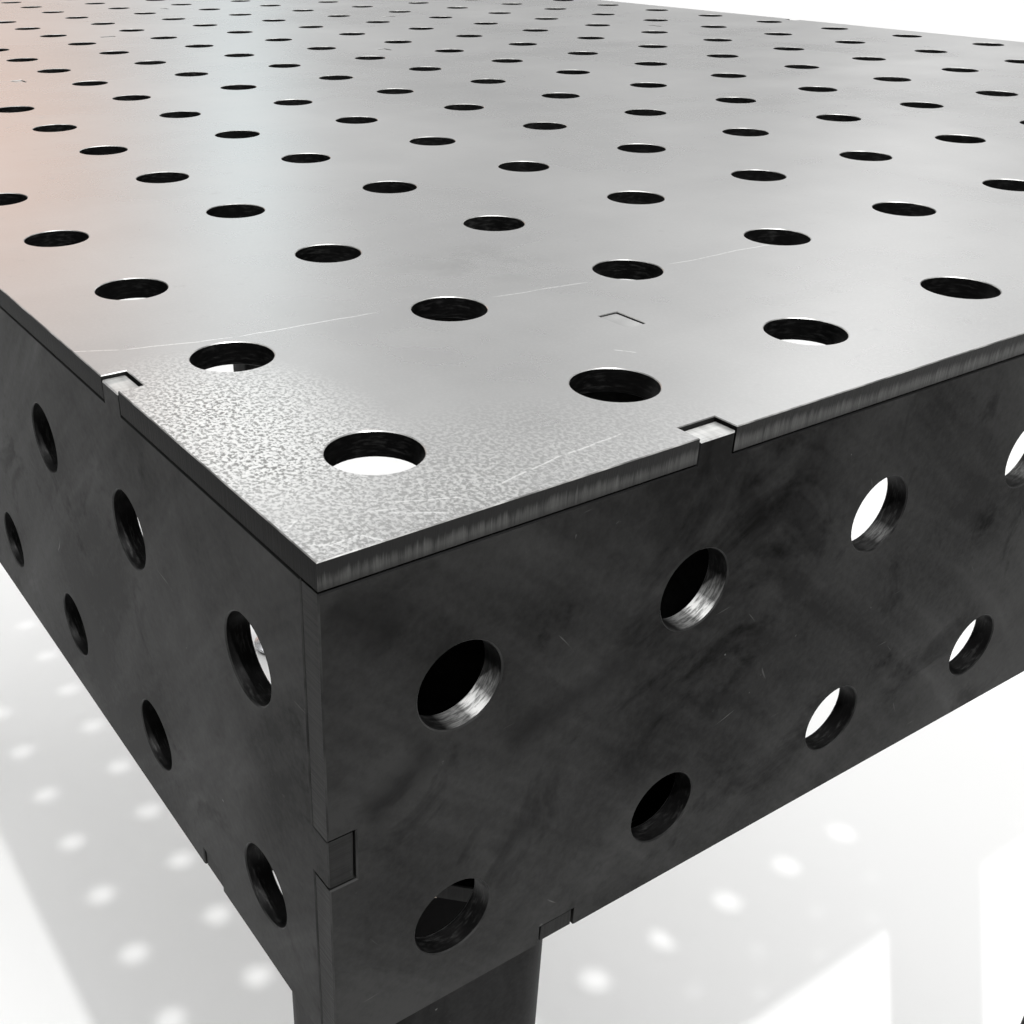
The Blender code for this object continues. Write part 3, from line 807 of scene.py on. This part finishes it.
def leg_mount(name, side_x, side_y):
    half = MOUNT_TAB / 2
    tab_end = GAP + 0.0001
    skirt = PLATE + GAP
    rib_face = MARGIN + 1.5 * PITCH - PLATE / 2 - GAP
    rib_back = rib_face + PLATE + GAP
    low = LEG_CENTRE - half
    high = LEG_CENTRE + half
    chamfer = skirt + 0.0047
    outline = [
        (tab_end, high), (tab_end, low), (chamfer, low), (low, chamfer), (low, tab_end), (high, tab_end),
        (high, skirt), (rib_face, skirt), (rib_face, low), (rib_back, low), (rib_back, high),
        (rib_face, high), (rib_face, MOUNT_REACH), (skirt, MOUNT_REACH), (skirt, high),
    ]  # fmt: skip
    placed = [(side_x * (-LEFT - x), side_y * (-NEAR - y)) for x, y in outline]
    height = SKIRT_BOTTOM + MOUNT_THICKNESS / 2
    sheet(name, placed, [], MOUNT_THICKNESS, (0, 0, height), (0, 0, 0), MOUNT_LOOKS)


TUBE_LOOKS = (DARK_CUT, TUBE, DARK_CUT, TUBE, DARK_CUT)
END_PLATE_LOOKS = (TUBE, DARK_CUT, DARK_RIM, HOLE_WALL, DARK_RIM)


def leg(name, place):
    outer = rounded_square(LEG_SIDE, LEG_CORNER, 8)
    inner = rounded_square(LEG_SIDE - 2 * LEG_WALL, LEG_CORNER - LEG_WALL, 4)
    low = LEG_END + END_PLATE + GAP
    high = SKIRT_BOTTOM - GAP
    obj = sheet(name, outer, [inner], high - low, (*place, (low + high) / 2), (0, 0, 0), TUBE_LOOKS)
    soften(obj.data, 40)


def leg_end_plate(name, place):
    outline = rounded_square(LEG_SIDE, LEG_CORNER, 8)
    hole = polygon((0, 0), THREAD_BORE, HOLE_SIDES)
    centre = (*place, LEG_END + END_PLATE / 2)
    sheet(name, outline, [hole], END_PLATE, centre, (0, 0, 0), END_PLATE_LOOKS, rim=0.0004)


def turned_mesh(name, profile, look, sides=72, ring=False):
    """A turned shape from (radius, height) points, with smooth sides and crisp corners."""
    mesh = bpy.data.meshes.new(name)
    edges = [(k, k + 1) for k in range(len(profile) - 1)]
    if ring:
        edges.append((len(profile) - 1, 0))
    mesh.from_pydata([(r, 0, z) for r, z in profile], edges, [])
    obj = add(name, mesh)
    screw = obj.modifiers.new("turn", "SCREW")
    screw.steps = sides
    screw.render_steps = sides
    screw.use_merge_vertices = True
    screw.merge_threshold = 0.00001
    made = mesh_of(obj)
    face_outwards(made)
    wear_only(made, look)
    soften(made)
    return made


def rounded(points, radius, steps=4):
    """The open line of points with its inner corners rounded."""
    line = [Vector(p) for p in points]
    out = [line[0]]
    for before, corner, after in zip(line, line[1:], line[2:]):
        a = before - corner
        b = after - corner
        reach = min(radius, a.length * 0.45, b.length * 0.45)
        start = corner + a.normalized() * reach
        end = corner + b.normalized() * reach
        for k in range(steps + 1):
            t = k / steps
            out.append(start * (1 - t) ** 2 + corner * 2 * t * (1 - t) + end * t**2)
    out.append(line[-1])
    return [tuple(p) for p in out]


def standing(obj, place, node, body):
    obj.location = (*place, 0)
    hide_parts(node)
    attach(obj, body)


def thread_mesh(low, high):
    """The threaded length: a fine grid whose radius follows a 60 degree helix, closed at both ends."""
    around_steps = 48
    rises = int((high - low) / (THREAD_LEAD / 10))
    crest = THREAD_RADIUS - 0.00002
    verts = []
    for level in range(rises + 1):
        z = low + (high - low) * level / rises
        fade = min(1.0, (high - z) / THREAD_RUNOUT, (z - low) / THREAD_RUNOUT)
        for k in range(around_steps):
            phase = (z / THREAD_LEAD - k / around_steps) % 1.0
            groove = max(0.0, 1.0 - abs(phase - 0.5) / 0.42) * THREAD_DEPTH
            taper = (1 - fade) * THREAD_RUNOUT
            radius = min(crest - groove, crest - taper)
            angle = 2 * math.pi * k / around_steps
            verts.append((radius * math.cos(angle), radius * math.sin(angle), z))
    faces = []
    for level in range(rises):
        for k in range(around_steps):
            a = level * around_steps + k
            b = level * around_steps + (k + 1) % around_steps
            faces.append((a, b, b + around_steps, a + around_steps))
    faces.append(tuple(reversed(range(around_steps))))
    faces.append(tuple(rises * around_steps + k for k in range(around_steps)))
    mesh = bpy.data.meshes.new("thread")
    mesh.from_pydata(verts, [], faces)
    mesh.materials.append(ZINC)
    soften(mesh, 50)
    return mesh


def hex_mesh(name, flats, low, high, bore, look):
    """A hexagon between two heights with turned chamfers, and a bore with a countersink if bore is not 0."""
    across = flats / math.cos(math.pi / 6) / 2
    face = flats / 2 * 0.97
    rim = across + 0.0001
    beyond = 0.001
    profile = [(0, high), (face, high), (rim, high - HEX_CHAMFER)]
    profile += [(rim, low + HEX_CHAMFER), (face, low), (0, low)]
    barrel = add(name + "_barrel", turned_mesh(name + "_barrel", profile, look))
    prism = bpy.data.meshes.new(name + "_prism")
    ring = polygon((0, 0), across, 6)
    verts = [(x, y, low - beyond) for x, y in ring] + [(x, y, high + beyond) for x, y in ring]
    faces = [tuple(reversed(range(6))), tuple(range(6, 12))]
    faces += [(k, (k + 1) % 6, (k + 1) % 6 + 6, k + 6) for k in range(6)]
    prism.from_pydata(verts, [], faces)
    tools = [add(name + "_prism", prism)]
    cut = barrel.modifiers.new("hex", "BOOLEAN")
    cut.operation = "INTERSECT"
    cut.object = tools[0]
    if bore:
        mouth = bore + COUNTERSINK + beyond
        drill = [(0, high + beyond), (mouth, high + beyond), (bore, high - COUNTERSINK)]
        drill += [(bore, low + COUNTERSINK), (mouth, low - beyond), (0, low - beyond)]
        tools.append(add(name + "_drill", turned_mesh(name + "_drill", drill, look)))
        hole = barrel.modifiers.new("bore", "BOOLEAN")
        hole.operation = "DIFFERENCE"
        hole.object = tools[1]
    mesh = mesh_of(barrel)
    for tool in tools:
        bpy.data.objects.remove(tool, do_unlink=True)
    wear_only(mesh, look)
    soften(mesh, 25)
    return mesh


def joined(name, meshes, look):
    work = bmesh.new()
    for mesh in meshes:
        work.from_mesh(mesh)
    made = bpy.data.meshes.new(name)
    work.to_mesh(made)
    work.free()
    made.materials.append(look)
    return made


def bowl(radius, start_deg, end_deg, steps):
    """An arc round the ball's centre, whose end at -90 degrees is put exactly on the axis."""
    points = [(r, BALL_HEIGHT + z) for r, z in arc((0, 0), radius, start_deg, end_deg, steps)]
    points[0 if start_deg == -90 else -1] = (0, BALL_HEIGHT - radius)
    return points


def stem_mesh():
    neck = math.degrees(math.acos(NECK_RADIUS / BALL_RADIUS))
    ball = bowl(BALL_RADIUS, neck, -90, 24)
    shank = [(0, STEM_HEX_TOP), (0.0066, STEM_HEX_TOP), (0.0066, 0.0300)]
    shank += [(0.0062, 0.0284), (NECK_RADIUS, 0.0272)]
    parts = [
        thread_mesh(THREAD_START, STEM_TOP),
        hex_mesh("stem_hex", STEM_HEX_FLATS, STEM_HEX_LOW, STEM_HEX_TOP, 0, ZINC),
        turned_mesh("stem_ball", shank + ball, ZINC),
    ]
    made = joined("stem_shape", parts, ZINC)
    soften(made, 35)
    return made


def pad_mesh():
    outer = [(SOCKET_RADIUS, COLLAR_TOP), (COLLAR_RADIUS, COLLAR_TOP), (COLLAR_RADIUS, 0.0162)]
    outer += [(0.0172, 0.0140), (0.0290, 0.0089)]
    outer += [(PAD_RADIUS, 0.0084), (PAD_RADIUS, PAD_BOTTOM), (0, PAD_BOTTOM)]
    profile = bowl(SOCKET_RADIUS, -90, 0, 16) + rounded(outer, 0.0008)[1:]
    return turned_mesh("pad_shape", profile, ZINC, 96)


def sole_mesh():
    """The rubber sole: a disc with a rounded edge and three grooves underneath."""
    profile = [(0, SOLE_TOP), (SOLE_RADIUS, SOLE_TOP), (SOLE_RADIUS, 0.0009), (0.0272, 0.0)]
    for radius in SOLE_GROOVES:
        profile += [(radius + 0.0012, 0), (radius + 0.0008, 0.0010)]
        profile += [(radius - 0.0008, 0.0010), (radius - 0.0012, 0)]
    profile.append((0, 0))
    return turned_mesh("sole_shape", rounded(profile, 0.0003, 3), RUBBER, 96)


def ring_mesh():
    low, high = RING_SPAN
    profile = [(RING_INNER, high), (RING_OUTER, high), (RING_OUTER, low), (RING_INNER, low)]
    return turned_mesh("ring_shape", profile, ZINC, 72, True)


def seat_mesh():
    return turned_mesh("seat_shape", bowl(SEAT_INNER, -90, 0, 12) + bowl(SEAT_OUTER, 0, -90, 12), NYLON, 48)


def feet():
    stem = stem_mesh()
    pad = pad_mesh()
    sole = sole_mesh()
    ring = ring_mesh()
    seat = seat_mesh()
    jam_low = LEG_END - GAP - JAM_NUT_HEIGHT
    weld_low = LEG_END + END_PLATE + GAP
    nut = hex_mesh("jam_nut", NUT_FLATS, jam_low, LEG_END - GAP, THREAD_BORE, ZINC)
    weld_nut = hex_mesh("weld_nut", NUT_FLATS, weld_low, weld_low + WELD_NUT_HEIGHT, THREAD_BORE, ZINC)
    for number, place in enumerate(LEG_PLACES, 1):
        for shape, node, body in (
            (stem, "foot_stem", "stem"),
            (pad, "foot_pad", "pad"),
            (sole, "foot_sole", "pad"),
            (ring, "retaining_ring", "pad"),
            (seat, "ball_seat", "seat"),
            (nut, "jam_nut", "nut"),
            (weld_nut, "weld_nut", None),
        ):
            obj = add(f"{node}_{number}_turned", shape)
            standing(obj, place, f"{node}_{number}", f"{body}_{number}" if body else "frame")


# ---------------------------------------------------------------- welds


RIPPLE = 0.0016
BEAD_SEGMENTS = 8
LEG_BEAD = 0.0036
CORNER_BEAD = 0.0034
SKIRT_BEAD = 0.0032
RIB_BEAD = 0.0030
CROSSING_BEAD = 0.0026
SKIRT_STITCH = 0.026
RIB_STITCH = 0.024
MOUNT_STITCH = 0.022
MOUNT_STITCH_PLACE = 0.0745
DOWN = (0, 0, -1)
ALONG_X = Vector((1, 0, 0))
ALONG_Y = Vector((0, 1, 0))


def bead(work, start, end, up, side, radius):
    """A fillet weld from start to end in the corner between the directions up and side."""
    start, end, up, side = Vector(start), Vector(end), Vector(up), Vector(side)
    along = end - start
    length = along.length
    rings = max(6, int(length / (RIPPLE / 4)))
    phase = random.random()
    rows = []
    for k in range(rings + 1):
        t = k / rings
        s = t * length
        wave = (s / RIPPLE + phase) % 1.0
        cap = min(1.0, math.sqrt(max(0.0, s) / radius), math.sqrt(max(0.0, length - s) / radius))
        size = radius * (0.90 + 0.12 * wave + 0.05 * math.sin(s * 410 + phase * 9)) * max(cap, 0.12)
        base = start + along * t
        sags = 0 < k < rings
        ring = []
        for m in range(BEAD_SEGMENTS + 1):
            a = math.pi / 2 * m / BEAD_SEGMENTS
            reach = size * (0.80 + 0.20 * abs(math.cos(2 * a)))
            sag = along.normalized() * (-0.25 * size * math.sin(2 * a) * sags)
            point = base + up * (math.sin(a) * reach) + side * (math.cos(a) * reach) + sag
            ring.append(work.verts.new(point))
        ring.append(work.verts.new(base - (up + side) * 0.0001))
        rows.append(ring)
    count = BEAD_SEGMENTS + 2
    for a, b in zip(rows, rows[1:]):
        for m in range(count):
            work.faces.new((a[m], a[(m + 1) % count], b[(m + 1) % count], b[m]))
    work.faces.new(rows[0])
    work.faces.new(list(reversed(rows[-1])))


def stitch(work, middles, direction, length, up, side, radius):
    """A row of short beads of one length, centred on the middles."""
    for middle in middles:
        point = Vector(middle)
        bead(work, point - direction * length / 2, point + direction * length / 2, up, side, radius)


def upright(work, x, y, low, high, up, side, radius):
    bead(work, (x, y, low), (x, y, high), up, side, radius)


def finish_beads(work, name):
    bmesh.ops.recalc_face_normals(work, faces=work.faces)
    mesh = bpy.data.meshes.new(name)
    work.to_mesh(mesh)
    work.free()
    mesh.materials.append(BEAD)
    soften(mesh, 40)
    obj = add(name, mesh)
    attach(obj, "frame")


def leg_welds():
    """Round the top of each leg, under its mount."""
    work = bmesh.new()
    half = LEG_SIDE / 2
    run = half - LEG_CORNER + 0.001
    for place in LEG_PLACES:
        top = Vector((*place, SKIRT_BOTTOM))
        for dx, dy in ((1, 0), (-1, 0), (0, 1), (0, -1)):
            out = Vector((dx, dy, 0))
            tangent = Vector((-dy, dx, 0))
            base = top + out * half
            bead(work, base - tangent * run, base + tangent * run, DOWN, out, LEG_BEAD)
    finish_beads(work, "leg_top_welds")


def corner_welds():
    """Down the inside of the four corners, where the skirts meet."""
    work = bmesh.new()
    spans = ((SKIRT_BOTTOM + 0.010, SKIRT_BOTTOM + 0.036), (SKIRT_TOP - 0.034, SKIRT_TOP - 0.006))
    for side_x, side_y in CORNERS:
        x = side_x * (-LEFT - PLATE)
        y = side_y * (-NEAR - PLATE)
        for low, high in spans:
            upright(work, x, y, low, high, (-side_x, 0, 0), (0, -side_y, 0), CORNER_BEAD)
    finish_beads(work, "corner_welds")


def long_rib_welds(work, x):
    """Staggered stitches under the top plate on both faces, and a bead at each end's two corners."""
    for side in (-1, 1):
        gaps = (3, 8, 13, 20) if side < 0 else (2, 9, 14, 19)
        middles = [(x + side * PLATE / 2, row(j + 0.5), UNDERSIDE) for j in gaps]
        stitch(work, middles, ALONG_Y, RIB_STITCH, DOWN, (side, 0, 0), RIB_BEAD)
    low = RIB_BOTTOM + 0.006
    high = RIB_BOTTOM + 0.030
    for end in (-1, 1):
        for side in (-1, 1):
            face = x + side * PLATE / 2
            upright(work, face, end * (-NEAR - PLATE), low, high, (side, 0, 0), (0, -end, 0), RIB_BEAD)


def cross_rib_welds(work, y):
    """The same on the cross rib, and a bead in each corner where it crosses a long rib."""
    for side in (-1, 1):
        face = y + side * PLATE / 2
        gaps = (0, 4, 8) if side < 0 else (2, 6, 10)
        middles = [(column(i + 0.5), face, UNDERSIDE) for i in gaps]
        stitch(work, middles, ALONG_X, RIB_STITCH, DOWN, (0, side, 0), RIB_BEAD)
        low = RIB_BOTTOM + 0.006
        high = RIB_BOTTOM + 0.030
        for end in (-1, 1):
            upright(work, end * (-LEFT - PLATE), face, low, high, (0, side, 0), (-end, 0, 0), RIB_BEAD)
        low = RIB_BOTTOM + 0.004
        high = RIB_BOTTOM + 0.018
        for gap in LONG_RIB_GAPS:
            for way in (-1, 1):
                x = column(gap + 0.5) + way * PLATE / 2
                upright(work, x, face, low, high, (0, side, 0), (way, 0, 0), CROSSING_BEAD)


def rib_welds():
    work = bmesh.new()
    for gap in LONG_RIB_GAPS:
        long_rib_welds(work, column(gap + 0.5))
    cross_rib_welds(work, row(CROSS_RIB_GAP + 0.5))
    finish_beads(work, "rib_welds")


def skirt_welds():
    """Stitches inside, between the skirts and the top plate and between the leg mounts and the skirts."""
    work = bmesh.new()
    for side in (-1, 1):
        y = side * (-NEAR - PLATE)
        middles = [(column(i), y, UNDERSIDE) for i in (1, 4, 7, 10)]
        stitch(work, middles, ALONG_X, SKIRT_STITCH, DOWN, (0, -side, 0), SKIRT_BEAD)
        x = side * (-LEFT - PLATE)
        middles = [(x, row(j), UNDERSIDE) for j in (1, 5, 8, 12, 15, 18, 22)]
        stitch(work, middles, ALONG_Y, SKIRT_STITCH, DOWN, (-side, 0, 0), SKIRT_BEAD)
    up = (0, 0, 1)
    top = SKIRT_BOTTOM + MOUNT_THICKNESS
    for side_x, side_y in CORNERS:
        x = side_x * (-LEFT - PLATE)
        y = side_y * (-NEAR - PLATE)
        inner_x = side_x * (-LEFT - MOUNT_STITCH_PLACE)
        inner_y = side_y * (-NEAR - MOUNT_STITCH_PLACE)
        stitch(work, [(inner_x, y, top)], ALONG_X, MOUNT_STITCH, up, (0, -side_y, 0), SKIRT_BEAD)
        stitch(work, [(x, inner_y, top)], ALONG_Y, MOUNT_STITCH, up, (-side_x, 0, 0), SKIRT_BEAD)
    finish_beads(work, "skirt_welds")


def table():
    top_plate()
    skirts()
    for number, gap in enumerate(LONG_RIB_GAPS, 1):
        long_rib(f"long_rib_{number}", column(gap + 0.5), gap != LONG_RIB_GAPS[1])
    cross_rib("cross_rib", row(CROSS_RIB_GAP + 0.5))
    for number, (sides, place) in enumerate(zip(CORNERS, LEG_PLACES), 1):
        leg_mount(f"leg_mount_{number}", *sides)
        leg(f"leg_{number}", place)
        leg_end_plate(f"leg_end_plate_{number}", place)
    feet()
    leg_welds()
    corner_welds()
    rib_welds()
    skirt_welds()


# ---------------------------------------------------------------- studio


FLOOR_HALF = 14.0


def floor():
    mesh = bpy.data.meshes.new("floor")
    corners = [(x * FLOOR_HALF, y * FLOOR_HALF, 0) for x, y in ((-1, -1), (1, -1), (1, 1), (-1, 1))]
    mesh.from_pydata(corners, [], [(0, 1, 2, 3)])
    mesh.materials.append(floor_paint())
    add("floor", mesh)


# What stands round the table, as brightness by bearing in degrees from +Y towards +X, at three heights.
BEARINGS = (14.5, 18.4, 22.3, 26, 30, 34, 38, 42, 46, 50, 53, 57, 61)
HORIZON = (0.54, 0.54, 0.53, 0.46, 0.38, 0.37, 0.35, 0.36, 0.31, 0.23, 0.23, 0.27, 0.36)
LOW_SKY = (0.78, 0.72, 0.88, 1.44, 0.72, 0.60, 0.53, 0.55, 0.68, 0.48, 0.58, 0.86, 0.64)
HIGH_SKY = (0.52, 0.56, 0.80, 0.96, 0.60, 0.50, 0.48, 0.52, 0.57, 0.74, 1.14, 1.34, 0.92)
LOW_TINTS = {14.5: (2.05, 1.22, 0.86), 18.4: (1.70, 1.14, 0.88), 26: (0.90, 1.06, 1.10)}
BEARING_SPAN = (5.0, 75.0)
FAR_SIDE_ENDS = ((72, 88), (6, -8))
# Between these heights, as parts of 1 straight up, each level of the sky gives way to the next.
LOW_RISE = (0.11, 0.20)
HIGH_RISE = (0.20, 0.31)
UPPER_RISE = (0.55, 0.75)
ZENITH_RISE = (0.80, 0.88)
SKY_GAIN = 1.12
SIDE_SKY = 0.36
UPPER_SKY = 0.66
ZENITH = 2.7


def grey(level):
    return (level, level, level)


def world():
    """A plain bright studio, uneven round the far side, brightest overhead."""
    made = bpy.data.worlds.new("studio")
    bpy.context.scene.world = made
    sky = Nodes(made)
    coord = sky.node("ShaderNodeTexCoord").outputs["Generated"]
    x, y, height = sky.node("ShaderNodeSeparateXYZ", {0: coord}).outputs
    bearing = sky.maths("ARCTAN2", x, y)
    turned = sky.ramp(bearing, *(math.radians(value) for value in BEARING_SPAN))

    def band(levels, tints):
        built = sky.node("ShaderNodeValToRGB", {0: turned})
        stops = built.color_ramp.elements
        while len(stops) < len(levels):
            stops.new(0.5)
        for stop, degrees in zip(stops, BEARINGS):
            stop.position = (degrees - BEARING_SPAN[0]) / (BEARING_SPAN[1] - BEARING_SPAN[0])
        for stop, degrees, level in zip(stops, BEARINGS, levels):
            tint = tints.get(degrees, (1.0, 1.0, 1.0))
            stop.color = (*(SKY_GAIN * level * part for part in tint), 1.0)
        return built.outputs["Color"]

    colour = sky.mix(sky.ramp(height, *LOW_RISE), band(HORIZON, {}), band(LOW_SKY, LOW_TINTS))
    colour = sky.mix(sky.ramp(height, *HIGH_RISE), colour, band(HIGH_SKY, {}))
    for ends in FAR_SIDE_ENDS:
        span = [math.radians(value) for value in ends]
        colour = sky.mix(sky.ramp(bearing, *span), colour, grey(SIDE_SKY))
    colour = sky.mix(sky.ramp(height, *UPPER_RISE), colour, grey(UPPER_SKY))
    colour = sky.mix(sky.ramp(height, *ZENITH_RISE), colour, grey(ZENITH))
    sky.put(colour, sky.tree.nodes["Background"].inputs["Color"])


LAMP_POWER = 78
LAMP_RADIUS = 0.010
LAMP_PLACE = (LEFT - 0.125, NEAR - 0.435, TABLE_HEIGHT + 0.983)


def lamp():
    """One small high lamp in front of the near left corner throws the dots on the floor."""
    data = bpy.data.lights.new("key_lamp", "POINT")
    data.energy = LAMP_POWER
    data.shadow_soft_size = LAMP_RADIUS
    add("key_lamp", data).location = LAMP_PLACE


# The camera stands just off the near left corner and looks down across the top.
CAMERA_PLACE = (LEFT - 0.0619930, NEAR - 0.1139760, TABLE_HEIGHT + 0.0775608)
CAMERA_TURN = (math.radians(60.48405), math.radians(0.4445), math.radians(-32.51224))
LENS = 40.165
SENSOR = 36
CAMERA_SHIFT = (0.12904, 0.02165)


def camera():
    data = bpy.data.cameras.new("camera")
    data.lens = LENS
    data.sensor_width = SENSOR
    data.shift_x, data.shift_y = CAMERA_SHIFT
    data.clip_start = 0.01
    data.clip_end = 100
    data.dof.use_dof = False
    obj = add("camera", data)
    obj.location = CAMERA_PLACE
    obj.rotation_euler = CAMERA_TURN
    bpy.context.scene.camera = obj


table()
floor()
world()
lamp()
camera()
bpy.context.scene.view_settings.view_transform = "Standard"
